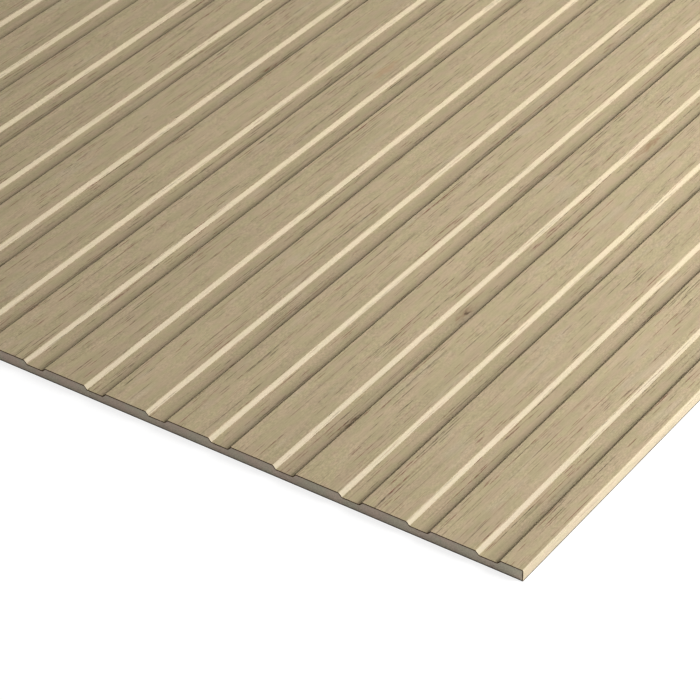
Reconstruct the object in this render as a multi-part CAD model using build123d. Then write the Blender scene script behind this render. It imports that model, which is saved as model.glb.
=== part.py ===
from build123d import *
import math
import os

# A veneered slat panel, the board that lines a wall or a ceiling with the look of separate slats.
# It is one fibreboard with shallow grooves, a veneer wrapped over the grooved face and down both long
# edges, and a balancing veneer on the back. Sizes are in millimetres.
# X runs across the slats, Y along them, and Z up from the back of the panel, whose middle is the origin.

# The finished panel, in a size that such boards are sold in
panel_width = 1200.0
panel_length = 2400.0

# The three layers, from the back up
backing_thickness = 0.8
core_thickness = 7.0
face_thickness = 0.8

# One slat and its groove, measured on the finished face
groove_pitch = 50.0
groove_floor_width = 12.5
groove_depth = 2.5
bevel_angle = 45.0

# The eased corners: the core's outer corners, and the finished inner corners at the foot of a bevel
arris_radius = 0.2
groove_foot_radius = 0.4

# Heights above the back
core_base = backing_thickness
core_top = core_base + core_thickness
face_top = core_top + face_thickness

# The grooves stand symmetrically about the panel's middle, so that each long edge is half a slat
groove_count = math.floor(panel_width / groove_pitch)
groove_centres = [(index - (groove_count - 1) / 2) * groove_pitch for index in range(groove_count)]


def groove_corners(centre, cover):
    """The four corners of a groove, left to right, in the surface that lies so far below the finished face."""
    bevel_run = groove_depth / math.tan(math.radians(bevel_angle))
    widening = cover * math.tan(math.radians(bevel_angle) / 2)
    half_floor = groove_floor_width / 2 + widening
    half_opening = half_floor + bevel_run
    surface = face_top - cover
    floor = surface - groove_depth
    return [
        (centre - half_opening, surface),
        (centre - half_floor, floor),
        (centre + half_floor, floor),
        (centre + half_opening, surface),
    ]


def grooved_contour(cover):
    """The line up one long edge, over slats and grooves and down the other edge, so far below the finish."""
    half_width = panel_width / 2 - cover
    surface = face_top - cover
    arris = arris_radius + face_thickness - cover
    foot = groove_foot_radius + cover
    points = [(-half_width, core_base), (-half_width, surface)]
    radii = [arris]
    for centre in groove_centres:
        points += groove_corners(centre, cover)
        radii += [arris, foot, foot, arris]
    points += [(half_width, surface), (half_width, core_base)]
    radii.append(arris)
    return FilletPolyline(*points, radius=radii)


def board_from_section(section):
    """The solid of a section drawn across the panel, run along the whole length."""
    return extrude(Plane.XZ * section, amount=panel_length / 2, both=True)


def make_core_board(under_face):
    """The fibreboard, with its grooves cut a little wider than the finished ones to take the veneer."""
    back = Line(under_face @ 1, under_face @ 0)
    return board_from_section(make_face(under_face.edges() + back.edges()))


def make_face_veneer(finished_face, under_face):
    """The veneer between the core's grooved face and the finished face, turned down over both long edges."""
    left_end = Line(under_face @ 0, finished_face @ 0)
    right_end = Line(finished_face @ 1, under_face @ 1)
    outline = finished_face.edges() + right_end.edges() + under_face.edges() + left_end.edges()
    return board_from_section(make_face(outline))


def make_backing_veneer():
    """The flat leaf on the back, as wide as the finished panel, so that the turned-down face ends on it."""
    return Box(panel_width, panel_length, backing_thickness, align=(Align.CENTER, Align.CENTER, Align.MIN))


def write_panel():
    """Makes each piece and writes it to a file with the piece's own name."""
    finished_face = grooved_contour(0)
    under_face = grooved_contour(face_thickness)
    pieces = {
        "core_board": make_core_board(under_face),
        "face_veneer": make_face_veneer(finished_face, under_face),
        "backing_veneer": make_backing_veneer(),
    }
    os.makedirs("parts", exist_ok=True)
    for name, piece in pieces.items():
        piece.label = name
        export_step(piece, f"parts/{name}.step")
        print(name, f"{piece.volume / 1e9:.5f} m3")


write_panel()
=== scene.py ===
# %% [markdown]
# # A veneered slat panel
# The real thing is one fibreboard with shallow bevelled grooves, an oak veneer wrapped over the grooved
# face and a balancing veneer on its back. Its solids come ready-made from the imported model, so this
# script only dresses them: it loads them as they are, gives each one the finish of its real material, and
# sets up a plain studio round it. Loading first is the safe order, because every later step can then ask
# the model where things are.

# %% Load the panel
import math
import bpy
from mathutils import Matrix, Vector


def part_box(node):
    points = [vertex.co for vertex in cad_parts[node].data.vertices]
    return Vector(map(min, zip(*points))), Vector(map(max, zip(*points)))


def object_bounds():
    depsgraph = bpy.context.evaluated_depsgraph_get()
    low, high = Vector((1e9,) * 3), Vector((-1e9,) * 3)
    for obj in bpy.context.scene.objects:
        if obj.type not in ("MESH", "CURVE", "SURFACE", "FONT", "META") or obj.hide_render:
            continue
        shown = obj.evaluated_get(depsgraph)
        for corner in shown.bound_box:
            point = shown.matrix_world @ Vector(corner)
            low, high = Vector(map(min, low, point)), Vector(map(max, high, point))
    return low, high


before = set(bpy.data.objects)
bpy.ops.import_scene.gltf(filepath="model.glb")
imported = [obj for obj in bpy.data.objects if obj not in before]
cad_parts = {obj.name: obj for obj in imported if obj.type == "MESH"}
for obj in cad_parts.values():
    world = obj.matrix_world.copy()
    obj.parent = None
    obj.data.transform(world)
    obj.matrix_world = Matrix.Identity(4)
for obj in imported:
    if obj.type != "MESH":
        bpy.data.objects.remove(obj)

cad_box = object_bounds()
print("pieces:", sorted(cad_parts))
print("panel from", [round(v, 4) for v in cad_box[0]], "to", [round(v, 4) for v in cad_box[1]])

# %% [markdown]
# ## Colours
# A colour picked on a screen is an sRGB hex value, but the shader's sockets want linear light. One small
# function turns the first into the second, so that every colour below can be read and changed as the
# usual six digits.

# %% Colours
def linear(hex_colour):
    """The linear red, green, blue and alpha of an sRGB colour such as B3A384."""
    shares = [int(hex_colour[i:i + 2], 16) / 255 for i in (0, 2, 4)]
    return [s / 12.92 if s <= 0.04045 else ((s + 0.055) / 1.055) ** 2.4 for s in shares] + [1.0]


print("mid grey 808080 is", round(linear("808080")[0], 3), "in linear light")

# %% [markdown]
# ## Nodes
# A procedural material is a chain of nodes. One function that makes a node, sets its options and fills or
# links its inputs keeps each material below as short as a recipe. An input that is given a socket is
# linked, and any other input is set to its value.

# %% Nodes
def add(tree, kind, inputs=(), **options):
    """A new node of that kind in the tree, with its options set and its inputs filled or linked."""
    node = tree.nodes.new(kind)
    for name, value in options.items():
        setattr(node, name, value)
    for key, value in dict(inputs).items():
        if isinstance(value, bpy.types.NodeSocket):
            tree.links.new(value, node.inputs[key])
        else:
            node.inputs[key].default_value = value
    return node


def new_material(name):
    """An empty node material, with its tree and its output node."""
    material = bpy.data.materials.new(name)
    material.use_nodes = True
    material.node_tree.nodes.clear()
    output = add(material.node_tree, "ShaderNodeOutputMaterial")
    return material, material.node_tree, output


print("a node's input takes a value or another node's output")

# %% [markdown]
# ## Wood in millimetres
# Wood is drawn out along its grain: a pore is a hair wide and a finger's breadth or more long. The grain
# runs along Y, so most patterns here are plain noise on coordinates that are squeezed by a width across
# the grain and a length along it, both in millimetres. A wave texture gives stripes too, but evenly
# spaced ones, and those of a sliced leaf never are. Raw noise keeps close to one half, so a smooth step
# spreads it: its lower level becomes one end of a wanted range and its upper level the other. The
# object's own coordinates carry the same figure over slats, bevels and groove floors, as one sheet of
# veneer does when it is wrapped over them.

# %% Wood in millimetres
mm_in_metre = 1000


def in_millimetres(tree):
    """The place on the panel, in millimetres."""
    place = add(tree, "ShaderNodeTexCoord").outputs["Object"]
    scale = (mm_in_metre, mm_in_metre, mm_in_metre)
    return add(tree, "ShaderNodeVectorMath", {0: place, 1: scale}, operation="MULTIPLY").outputs[0]


def figure(tree, place, size, seed, levels, to=(0.0, 1.0), detail=1.0):
    """Noise in patches of that size across and along the grain, with its two levels spread to a range."""
    across, along = size
    steps = add(tree, "ShaderNodeMapping", {
        "Vector": place, "Location": (seed, seed, seed), "Scale": (1 / across, 1 / along, 1 / across)})
    noise = add(tree, "ShaderNodeTexNoise", {"Vector": steps.outputs[0], "Scale": 1.0, "Detail": detail})
    spread = add(tree, "ShaderNodeMapRange", {
        "Value": noise.outputs["Fac"], "From Min": levels[0], "From Max": levels[1],
        "To Min": to[0], "To Max": to[1]}, interpolation_type="SMOOTHSTEP")
    return spread.outputs["Result"]


print("grain runs along Y, in steps of millimetres")

# %% [markdown]
# ## The grain's sway
# A trunk is never quite straight, so the grain of a sliced leaf wanders from side to side by a few
# millimetres over an arm's length. Each noise has a distortion of its own, but that would bend each
# pattern in another way. Moving the coordinates sideways by slow noise, before any pattern reads them,
# bends all of them alike.

# %% The grain's sway
sway_reach = 3.0


def with_sway(tree, place):
    """The place moved across the grain by up to the sway's reach, slowly along it."""
    sway = figure(tree, place, (200, 500), 3.1, (0.2, 0.8), to=(-sway_reach, sway_reach), detail=0.0)
    sideways = add(tree, "ShaderNodeCombineXYZ", {"X": sway}).outputs[0]
    return add(tree, "ShaderNodeVectorMath", {0: place, 1: sideways}, operation="ADD").outputs[0]


print("the grain sways by up to", sway_reach, "mm")

# %% [markdown]
# ## The ground colour of oak
# Light oak under a clear matt lacquer is a beige with small blotches of olive and pink, and with a larger
# grey patch here and there. Over the colour lie bands and fibres, lighter and darker by a few parts in a
# hundred, and the fine specks of cut fibre ends, which are strong in some places and faint in others. The
# bands and fibres make one factor and the specks are added to it, so that the specks stay as strong in
# dark bands as in light ones. Real fibre ends are far finer than a millimetre. The specks are drawn
# 0.75 mm wide, a little over a pixel, so that they show.

# %% The ground colour of oak
beige = linear("B1A282")
blotch_share = 0.4


def oak_ground(tree, place):
    """The wood's colour between the pores, and the fibres' height."""
    blotch = figure(tree, place, (6, 14), 29.3, (0.35, 0.65))
    blotches = add(tree, "ShaderNodeMix", {
        "Factor": blotch, "A": linear("ACA07A"), "B": linear("B79E85")}, data_type="RGBA")
    mottled = add(tree, "ShaderNodeMix", {
        "Factor": blotch_share, "A": beige, "B": blotches.outputs[2]}, data_type="RGBA")
    grey = figure(tree, place, (8, 45), 61.5, (0.58, 0.78), to=(0.0, 0.3))
    ground = add(tree, "ShaderNodeMix", {
        "Factor": grey, "A": mottled.outputs[2], "B": linear("BCAE96")}, data_type="RGBA")
    bands = figure(tree, place, (5.0, 190), 5.7, (0.3, 0.7), to=(0.945, 1.055))
    fibres = figure(tree, place, (0.8, 40), 8.3, (0.25, 0.75), to=(0.94, 1.06), detail=2.0)
    strength = figure(tree, place, (10, 30), 13.7, (0.35, 0.65), to=(0.3, 1.0))
    specks = figure(tree, place, (0.75, 2.2), 9.9, (0.25, 0.75), to=(-0.16, 0.16), detail=2.0)
    grain = add(tree, "ShaderNodeMath", {0: bands, 1: fibres}, operation="MULTIPLY")
    light = add(tree, "ShaderNodeMath", {
        0: specks, 1: strength, 2: grain.outputs[0]}, operation="MULTIPLY_ADD")
    coloured = add(tree, "ShaderNodeVectorMath", {
        0: ground.outputs[2], "Scale": light.outputs[0]}, operation="SCALE")
    return coloured.outputs[0], fibres


print("the ground is", [round(c, 3) for c in beige[:3]], "in linear light")

# %% [markdown]
# ## Pores
# Slicing cuts oak's vessels open lengthwise. They show as thin dark lines with tapered ends, from a
# fingernail's to a hand's length. Noise cut off at a level would give them blunt ends. A cell texture
# gives pointed ones: the space near its scattered points, drawn out along the grain, is a crowd of
# spindles, which the surface cuts at random depths, so no two are alike. Three layers give three lengths.
# A quick noise breaks the lines up, and a slow one crowds them in some bands and thins them in others.
# Real vessels are about 0.3 mm wide. They are drawn up to 0.7 mm wide here, because a pixel of the
# picture covers 0.6 mm of the panel.

# %% Pores
# Each layer has its spindles' spacing across and along the grain, in millimetres, and a seed.
pore_layers = [(1.7, 260, 37.7), (1.6, 100, 19.1), (1.4, 36, 27.3)]
# A spindle reaches so far from its point, in spacings, and is fully dark over this share of that.
spindle_reach = 0.23
dark_share = 0.57


def spindles(tree, place, across, along, seed):
    """1 in the middle of thin spindles, one to each spacing across and along the grain, and 0 elsewhere."""
    steps = add(tree, "ShaderNodeMapping", {
        "Vector": place, "Location": (seed, seed, seed), "Scale": (1 / across, 1 / along, 1 / across)})
    points = add(tree, "ShaderNodeTexVoronoi", {"Vector": steps.outputs[0], "Scale": 1.0})
    spindle = add(tree, "ShaderNodeMapRange", {
        "Value": points.outputs["Distance"], "From Min": dark_share * spindle_reach,
        "From Max": spindle_reach, "To Min": 1.0, "To Max": 0.0}, interpolation_type="SMOOTHSTEP")
    return spindle.outputs["Result"]


def oak_pores(tree, place):
    """1 in an open pore and 0 beside it."""
    pores = 0.0
    for across, along, seed in pore_layers:
        layer = spindles(tree, place, across, along, seed)
        pores = add(tree, "ShaderNodeMath", {0: pores, 1: layer}, operation="MAXIMUM").outputs[0]
    breaks = figure(tree, place, (1.0, 6), 43.1, (0.32, 0.6), to=(0.3, 1.0))
    crowd = figure(tree, place, (11, 90), 41.7, (0.38, 0.62), to=(0.45, 1.0))
    broken = add(tree, "ShaderNodeMath", {0: pores, 1: breaks}, operation="MULTIPLY").outputs[0]
    return add(tree, "ShaderNodeMath", {0: broken, 1: crowd}, operation="MULTIPLY").outputs[0]


print("pores up to", [round(2 * spindle_reach * along) for across, along, seed in pore_layers], "mm long")

# %% [markdown]
# ## Pin knots
# Here and there the blade passes through a bud trace: a dark point the size of a match head with a
# reddish brown shade drawn out along the grain, or the shade alone. One point and four shades lie near
# the panel's near corner. A random texture can't be told where to put them, so each is a soft ellipse
# with its own place and colour and a rim that noise makes ragged. It is laid over the wood's colour at
# its own strength, so the grain still shows through.

# %% Pin knots
near_corner = Vector((cad_box[1][0], cad_box[0][1], cad_box[1][2]))
# Each shade has its place from the near corner, its half width and half length, all in millimetres, its
# strength and its colour.
knot_shades = [
    (-174.5, 211, 5.0, 17, 0.5, "8E7058"), (-173.5, 211.5, 2.4, 3.6, 0.9, "4E3A28"),
    (-168, 66, 3.8, 19, 0.7, "6B5238"), (-177.5, 468, 3.6, 27, 0.6, "8C644A"),
    (-395, 446, 5, 24, 0.5, "AE8C6A")]


def ellipse(tree, place, centre, half_width, half_length):
    """1 at the middle of an ellipse on the panel, fading to 0 at its ragged rim."""
    local = add(tree, "ShaderNodeMapping", {
        "Vector": place, "Location": (-centre[0] / half_width, -centre[1] / half_length, 0),
        "Scale": (1 / half_width, 1 / half_length, 0)})
    reach = add(tree, "ShaderNodeVectorMath", {0: local.outputs[0]}, operation="LENGTH")
    noise = figure(tree, place, (1.5, 6), 53.9, (0.3, 0.7), to=(-0.3, 0.3))
    ragged = add(tree, "ShaderNodeMath", {0: reach.outputs["Value"], 1: noise}, operation="ADD")
    faded = add(tree, "ShaderNodeMapRange", {
        "Value": ragged.outputs[0], "From Min": 0.1, "From Max": 1.0, "To Min": 1.0, "To Max": 0.0},
        interpolation_type="SMOOTHSTEP")
    return faded.outputs["Result"]


def with_knots(tree, place, wood):
    """The wood's colour with the shade of each knot laid over it."""
    for x, y, half_width, half_length, strength, colour in knot_shades:
        centre = (near_corner.x * mm_in_metre + x, near_corner.y * mm_in_metre + y)
        inside = ellipse(tree, place, centre, half_width, half_length)
        shade = add(tree, "ShaderNodeMath", {0: inside, 1: strength}, operation="MULTIPLY").outputs[0]
        wood = add(tree, "ShaderNodeMix", {
            "Factor": shade, "A": wood, "B": linear(colour)}, data_type="RGBA").outputs[2]
    return wood


print(len(knot_shades), "knot shades near", [round(v, 3) for v in near_corner])

# %% [markdown]
# ## Bends, groove floors and sawn ends
# The leaf isn't the same all over. Over a bevel or a long edge its colour is mixed half way to a paler,
# greyer and more even beige, a painted highlight for the lamp's sheen on the bevels that face it. The groove
# floors are slightly darker, painted shade for the dimmer light down in the grooves. At the sawn ends the
# leaf's own thin edge shows, dark with glue and lacquer. The way that a face looks tells which of these it
# is, and its height tells the floors, so no part of the mesh has to be picked by hand.

# %% Bends, groove floors and sawn ends
# The depth and the heights are in millimetres.
groove_depth = 2.5
floor_height = cad_box[1][2] * mm_in_metre - groove_depth
# Painted shade darkens the groove floors most up to the first height, and not at all above the second.
floor_shade_low = floor_height + 0.1
floor_shade_high = floor_shade_low + 1.0
painted_floor_shade = 0.96
# Painted highlight: bevels and long edges are mixed by the share below towards this paler, greyer beige, for
# the lamp's sheen on the lit bevels.
painted_sheen_colour = "A49982"
painted_sheen_share = 0.5
sawn_colour = "3E2810"


def with_bevels_floors_and_ends(tree, place, wood):
    """The colour with a painted highlight on bevels, painted shade on groove floors and a dark sawn edge,
    and 1 where it is sawn.
    """
    normal = add(tree, "ShaderNodeNewGeometry").outputs["True Normal"]
    facing = add(tree, "ShaderNodeSeparateXYZ", {0: normal}).outputs
    sideways = add(tree, "ShaderNodeMath", {0: facing["X"]}, operation="ABSOLUTE").outputs[0]
    # Painted highlight over the bevels and long edges.
    bevel_sheen_mask = add(tree, "ShaderNodeMapRange", {
        "Value": sideways, "From Min": 0.3, "From Max": 0.6, "To Min": 0.0, "To Max": painted_sheen_share},
        interpolation_type="SMOOTHSTEP").outputs["Result"]
    wood = add(tree, "ShaderNodeMix", {
        "Factor": bevel_sheen_mask, "A": wood, "B": linear(painted_sheen_colour)}, data_type="RGBA").outputs[2]
    height = add(tree, "ShaderNodeSeparateXYZ", {0: place}).outputs["Z"]
    # Painted shade: the groove floors are darkened slightly.
    floor_darkening = add(tree, "ShaderNodeMapRange", {
        "Value": height, "From Min": floor_shade_low, "From Max": floor_shade_high,
        "To Min": painted_floor_shade, "To Max": 1.0}, interpolation_type="SMOOTHSTEP").outputs["Result"]
    wood = add(tree, "ShaderNodeVectorMath", {0: wood, "Scale": floor_darkening}, operation="SCALE").outputs[0]
    endways = add(tree, "ShaderNodeMath", {0: facing["Y"]}, operation="ABSOLUTE").outputs[0]
    sawn = add(tree, "ShaderNodeMapRange", {
        "Value": endways, "From Min": 0.8, "From Max": 0.9},
        interpolation_type="SMOOTHSTEP").outputs["Result"]
    colour = add(tree, "ShaderNodeMix", {
        "Factor": sawn, "A": wood, "B": linear(sawn_colour)}, data_type="RGBA").outputs[2]
    return colour, sawn


print("groove floors", round(floor_height, 1), "mm above the panel's back")

# %% [markdown]
# ## Oak veneer
# Pores are darker than the ground, some of them reddish. Slicing and sanding leave the leaf smooth and
# the lacquer gives it a soft sheen, while the open pores stay slightly sunk and duller, and a sawn end
# has no sheen at all. The relief is a bump and not a shape, because it is under a tenth of a millimetre
# deep.

# %% Oak veneer
# The bump's height in metres, before its strength
relief_depth = 0.0002
pore_darkness = 0.95
lacquer_roughness = 0.55
pore_roughness = 0.75


def make_oak_veneer():
    """The finish of the face veneer."""
    material, tree, output = new_material("lacquered_light_oak")
    flat = in_millimetres(tree)
    place = with_sway(tree, flat)
    ground, fibres = oak_ground(tree, place)
    pores = oak_pores(tree, place)
    redness = figure(tree, place, (6, 30), 51.1, (0.4, 0.6), detail=0.0)
    pore_colour = add(tree, "ShaderNodeMix", {
        "Factor": redness, "A": linear("504430"), "B": linear("704030")}, data_type="RGBA")
    dark = add(tree, "ShaderNodeMath", {0: pores, 1: pore_darkness}, operation="MULTIPLY")
    wood = add(tree, "ShaderNodeMix", {
        "Factor": dark.outputs[0], "A": ground, "B": pore_colour.outputs[2]}, data_type="RGBA")
    colour, sawn = with_bevels_floors_and_ends(tree, flat, with_knots(tree, flat, wood.outputs[2]))

    relief = add(tree, "ShaderNodeMath", {0: fibres, 1: pores}, operation="SUBTRACT").outputs[0]
    bump = add(tree, "ShaderNodeBump", {"Strength": 0.3, "Distance": relief_depth, "Height": relief})
    lacquer = add(tree, "ShaderNodeMapRange", {
        "Value": pores, "To Min": lacquer_roughness, "To Max": pore_roughness},
        interpolation_type="SMOOTHSTEP")
    dull = add(tree, "ShaderNodeMath", {0: lacquer.outputs["Result"], 1: sawn}, operation="MAXIMUM")
    finish = add(tree, "ShaderNodeBsdfPrincipled", {
        "Base Color": colour, "Roughness": dull.outputs[0], "IOR": 1.5, "Normal": bump.outputs[0]})
    tree.links.new(finish.outputs[0], output.inputs["Surface"])
    return material


oak_veneer = make_oak_veneer()
print(oak_veneer.name, "has", len(oak_veneer.node_tree.nodes), "nodes")

# %% [markdown]
# ## Fibreboard
# The core is medium-density fibreboard: wood boiled down to fibres and pressed flat with resin. Its sawn
# edge is dull and even, a soft grey brown with fine specks, a little darker near both faces, where the
# press packs it tighter. Only the two sawn ends show it, so two noises are enough: clouds of colour and
# the specks. Real fibre bundles are finer, and the specks are drawn a pixel and a half wide, so that they
# show.

# %% Fibreboard
# In millimetres
speck_width = 0.909
cloud_width = 16.67


def make_fibreboard():
    """The finish of the core board."""
    material, tree, output = new_material("sawn_fibreboard")
    place = in_millimetres(tree)
    low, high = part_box("core_board")
    middle = (low.z + high.z) / 2 * mm_in_metre
    half = (high.z - low.z) / 2 * mm_in_metre

    clouds = add(tree, "ShaderNodeTexNoise", {"Vector": place, "Scale": 1 / cloud_width, "Detail": 1.0})
    cloud = add(tree, "ShaderNodeMapRange", {
        "Value": clouds.outputs["Fac"], "From Min": 0.35, "From Max": 0.65}, interpolation_type="SMOOTHSTEP")
    ground = add(tree, "ShaderNodeMix", {
        "Factor": cloud.outputs["Result"], "A": linear("B9B29E"), "B": linear("C1AF9F")}, data_type="RGBA")
    height = add(tree, "ShaderNodeSeparateXYZ", {0: place}).outputs["Z"]
    above = add(tree, "ShaderNodeMath", {0: height, 1: middle}, operation="SUBTRACT").outputs[0]
    off_middle = add(tree, "ShaderNodeMath", {0: above}, operation="ABSOLUTE").outputs[0]
    packed = add(tree, "ShaderNodeMapRange", {
        "Value": off_middle, "From Min": 0.5 * half, "From Max": half, "To Min": 1.0, "To Max": 0.92},
        interpolation_type="SMOOTHSTEP").outputs["Result"]
    specks = add(tree, "ShaderNodeTexNoise", {"Vector": place, "Scale": 1 / speck_width, "Detail": 3.0})
    speckled = add(tree, "ShaderNodeMapRange", {
        "Value": specks.outputs["Fac"], "From Min": 0.3, "From Max": 0.7, "To Min": 0.88, "To Max": 1.1},
        interpolation_type="SMOOTHSTEP").outputs["Result"]
    light = add(tree, "ShaderNodeMath", {0: packed, 1: speckled}, operation="MULTIPLY")
    colour = add(tree, "ShaderNodeVectorMath", {
        0: ground.outputs[2], "Scale": light.outputs[0]}, operation="SCALE")

    bump = add(tree, "ShaderNodeBump", {
        "Strength": 0.4, "Distance": relief_depth, "Height": specks.outputs["Fac"]})
    finish = add(tree, "ShaderNodeBsdfPrincipled", {
        "Base Color": colour.outputs[0], "Roughness": 0.85, "IOR": 1.5, "Normal": bump.outputs[0]})
    tree.links.new(finish.outputs[0], output.inputs["Surface"])
    return material


fibreboard = make_fibreboard()
print(fibreboard.name, "has", len(fibreboard.node_tree.nodes), "nodes")

# %% [markdown]
# ## Backing veneer
# The back carries a cheaper leaf that keeps the board flat. It is sanded but not lacquered, so it is duller,
# a little darker and browner than the face, with a plain streaky grain. Its own thin edge, on all four
# sides, is dark brown, a thin dark line along the bottom of the panel's edges.

# %% Backing veneer
def make_backing_veneer():
    """The finish of the leaf on the back."""
    material, tree, output = new_material("sanded_backing_veneer")
    place = in_millimetres(tree)
    drift = figure(tree, place, (40, 300), 71.9, (0.35, 0.65), detail=2.0)
    ground = add(tree, "ShaderNodeMix", {
        "Factor": drift, "A": linear("A08A68"), "B": linear("8E7452")}, data_type="RGBA")
    streaks = figure(tree, place, (2.2, 120), 77.7, (0.25, 0.75), to=(0.86, 1.12), detail=3.0)
    streaked = add(tree, "ShaderNodeVectorMath", {
        0: ground.outputs[2], "Scale": streaks}, operation="SCALE")
    pores = figure(tree, place, (1.4, 22), 83.3, (0.62, 0.75), to=(0.0, 0.5))
    wood = add(tree, "ShaderNodeMix", {
        "Factor": pores, "A": streaked.outputs[0], "B": linear("5A4630")}, data_type="RGBA")

    normal = add(tree, "ShaderNodeNewGeometry").outputs["True Normal"]
    upward = add(tree, "ShaderNodeSeparateXYZ", {0: normal}).outputs["Z"]
    edge = add(tree, "ShaderNodeMapRange", {
        "Value": upward, "From Min": -0.8, "From Max": -0.6}, interpolation_type="SMOOTHSTEP")
    colour = add(tree, "ShaderNodeMix", {
        "Factor": edge.outputs["Result"], "A": wood.outputs[2], "B": linear("3E3424")}, data_type="RGBA")

    bump = add(tree, "ShaderNodeBump", {"Strength": 0.4, "Distance": relief_depth, "Height": streaks})
    finish = add(tree, "ShaderNodeBsdfPrincipled", {
        "Base Color": colour.outputs[2], "Roughness": 0.8, "IOR": 1.5, "Normal": bump.outputs[0]})
    tree.links.new(finish.outputs[0], output.inputs["Surface"])
    return material


backing_veneer = make_backing_veneer()
print(backing_veneer.name, "has", len(backing_veneer.node_tree.nodes), "nodes")

# %% [markdown]
# ## Dress the pieces
# Each solid keeps its shape and gets its finish in its own material slot, so the same solids can be
# dressed in another wood later.

# %% Dress the pieces
finishes = {"face_veneer": oak_veneer, "core_board": fibreboard, "backing_veneer": backing_veneer}
for node, material in finishes.items():
    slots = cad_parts[node].material_slots
    for piece_slot in slots:
        piece_slot.material = material
    print(node, "has", material.name, "in", len(slots), "slot")

# %% [markdown]
# ## Floor
# The panel lies on a plain pale floor. The floor is a real diffuse surface, so it holds the panel's soft
# shadow and throws light back at its edges. To the camera most of it is a plain white glow instead, which
# evens out the lamp's pool of light and gives the paper white of a catalogue picture without any more
# light on the panel. The two are mixed and not added up, because a floor much brighter than white would
# eat into the thin dark line along the bottom of the panel's edge.

# %% Floor
# In metres. The floor is so wide that a view from 15 degrees up sees nothing behind it, and it lies a hair
# under the panel.
floor_half_side = 40.0
floor_gap = 0.0002
# The glow is a little over white, because the matt floor that it is mixed with is darker away from the lamp.
floor_glow = 1.15
glow_share = 0.7


def seen_directly(tree):
    """1 for the camera's own rays and for those that a mirror or glass sends on, and 0 for bounced light."""
    path = add(tree, "ShaderNodeLightPath").outputs
    mirrored = add(tree, "ShaderNodeMath", {
        0: path["Is Glossy Ray"], 1: path["Is Transmission Ray"]}, operation="MAXIMUM").outputs[0]
    return add(tree, "ShaderNodeMath", {
        0: path["Is Camera Ray"], 1: mirrored}, operation="MAXIMUM").outputs[0]


def make_floor():
    """One large square, white to the camera and matt to all other light."""
    signs = [(-1, -1), (1, -1), (1, 1), (-1, 1)]
    corners = [(x * floor_half_side, y * floor_half_side, -floor_gap) for x, y in signs]
    mesh = bpy.data.meshes.new("floor")
    mesh.from_pydata(corners, [], [(0, 1, 2, 3)])
    floor = bpy.data.objects.new("floor", mesh)
    bpy.context.scene.collection.objects.link(floor)
    material, tree, output = new_material("white_floor")
    matt = add(tree, "ShaderNodeBsdfDiffuse", {"Color": linear("F2F2F2")})
    glow = add(tree, "ShaderNodeEmission", {"Color": (1, 1, 1, 1), "Strength": floor_glow})
    share = add(tree, "ShaderNodeMath", {0: seen_directly(tree), 1: glow_share}, operation="MULTIPLY")
    both = add(tree, "ShaderNodeMixShader", {0: share.outputs[0], 1: matt.outputs[0], 2: glow.outputs[0]})
    tree.links.new(both.outputs[0], output.inputs["Surface"])
    mesh.materials.append(material)


make_floor()
print("floor", 2 * floor_half_side, "m wide, just under the panel's back")

# %% [markdown]
# ## Room
# A pale room gives the light in the shade: with the light that the floor throws back, it is all that the
# sawn end gets. An even white room would be simpler, but it would wash the shaded bevels with grey. This
# one is dimmer and warmer on the side away from the lamp, so they are lit mostly by the wood across the
# groove and stay brown.

# %% Room
room_light = 0.315
room_colour = "FFFFFF"
far_side_colour = "A29781"
# A way out into the room has an X from -1 to 1. The far side's colour is full where X is far_side, and
# gone from lamp_side on.
far_side = -1.0
lamp_side = 0.2


def make_room():
    """The light from all round, by the way it comes from."""
    world = bpy.data.worlds.new("white_room")
    bpy.context.scene.world = world
    world.use_nodes = True
    tree = world.node_tree
    tree.nodes.clear()
    way = add(tree, "ShaderNodeSeparateXYZ", {0: add(tree, "ShaderNodeTexCoord").outputs["Generated"]})
    side = add(tree, "ShaderNodeMapRange", {
        "Value": way.outputs["X"], "From Min": far_side, "From Max": lamp_side},
        interpolation_type="SMOOTHSTEP")
    colour = add(tree, "ShaderNodeMix", {
        "Factor": side.outputs["Result"], "A": linear(far_side_colour), "B": linear(room_colour)},
        data_type="RGBA")
    background = add(tree, "ShaderNodeBackground", {"Color": colour.outputs[2], "Strength": room_light})
    output = add(tree, "ShaderNodeOutputWorld")
    tree.links.new(background.outputs[0], output.inputs["Surface"])


make_room()
print("room light", room_light, "with", far_side_colour, "on the side away from the lamp")

# %% [markdown]
# ## Lamp
# A large soft lamp stands low on the right, so that the bevels and the long edge that face it are the
# brightest wood and each groove floor fades towards the slat that shades it. A sun would be simpler, but
# its light is the same all over, and the photo's panel is brighter at the right. The lamp is aimed well
# behind the near end, so its light also falls off towards the viewer.

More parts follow.
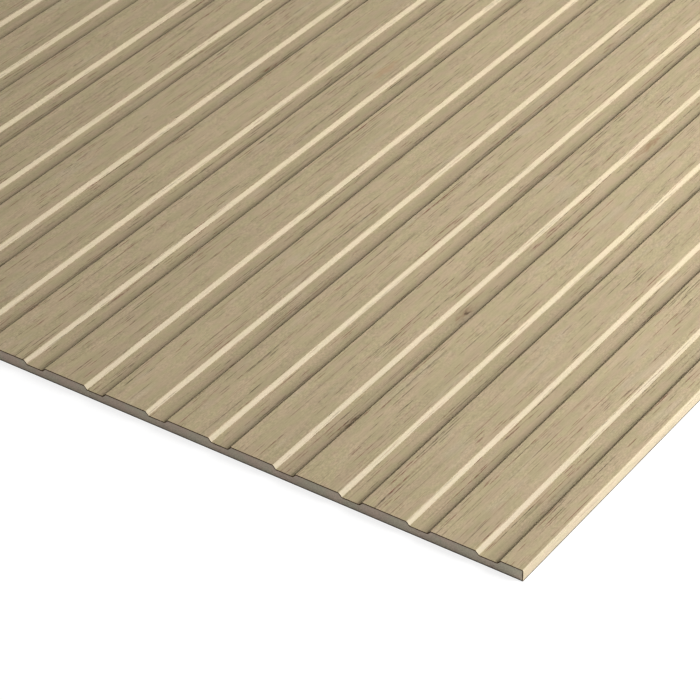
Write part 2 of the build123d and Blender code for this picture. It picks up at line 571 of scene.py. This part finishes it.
# %% Lamp
# Lengths are in metres and angles in degrees, with the azimuth counted from +X towards +Y.
lit_place = Vector((0.35, -0.95, 0.0))
aim_place = lit_place + Vector((0.0, 1.65, 0.0))
lamp_azimuth = 20
lamp_elevation = 28.5
lamp_distance = 2.1
lamp_size = 1.3
lamp_power = 103.0


def make_lamp():
    """A square soft lamp that the camera doesn't see."""
    turn, lift = math.radians(lamp_azimuth), math.radians(lamp_elevation)
    way = Vector((math.cos(lift) * math.cos(turn), math.cos(lift) * math.sin(turn), math.sin(lift)))
    place = lit_place + lamp_distance * way
    lamp = bpy.data.lights.new("key_lamp", "AREA")
    lamp.shape = "SQUARE"
    lamp.size = lamp_size
    lamp.energy = lamp_power
    holder = bpy.data.objects.new("key_lamp", lamp)
    holder.location = place
    holder.rotation_euler = (place - aim_place).to_track_quat("Z", "Y").to_euler()
    holder.visible_camera = False
    bpy.context.scene.collection.objects.link(holder)
    return holder


lamp_holder = make_lamp()
print(lamp_holder.name, "at", [round(v, 2) for v in lamp_holder.location])

# %% [markdown]
# ## Camera
# The photo looks down on one corner of the panel with a long lens, held level. The camera stands on the
# right of the panel's near end and aims at a point of the slats near that corner, so the slats run up to
# the right and out of the frame. Its lens, angles and distance come from fitting the grooves, the long
# edge and the cut end to the photo's lines.

# %% Camera
# The lens and its sensor are in millimetres and the rest in metres. The azimuth is counted from -Y, square
# to the near end, towards +X.
sensor_width = 36.0
lens_length = 154.2
view_azimuth = math.radians(34.12)
view_elevation = math.radians(35.64)
view_distance = 1.9767
aim_from_corner = Vector((-0.2128, 0.1292, 0.0))

aim = near_corner + aim_from_corner
towards_camera = Vector((
    math.cos(view_elevation) * math.sin(view_azimuth),
    -math.cos(view_elevation) * math.cos(view_azimuth),
    math.sin(view_elevation)))


def make_camera():
    """A level camera that looks at the aim from the photo's side."""
    lens = bpy.data.cameras.new("camera")
    lens.sensor_width = sensor_width
    lens.lens = lens_length
    camera = bpy.data.objects.new("camera", lens)
    camera.location = aim + towards_camera * view_distance
    camera.rotation_euler = towards_camera.to_track_quat("Z", "Y").to_euler()
    bpy.context.scene.collection.objects.link(camera)
    bpy.context.scene.camera = camera


make_camera()
bpy.context.scene.view_settings.view_transform = "Standard"
print("camera at", [round(v, 4) for v in bpy.context.scene.camera.location])
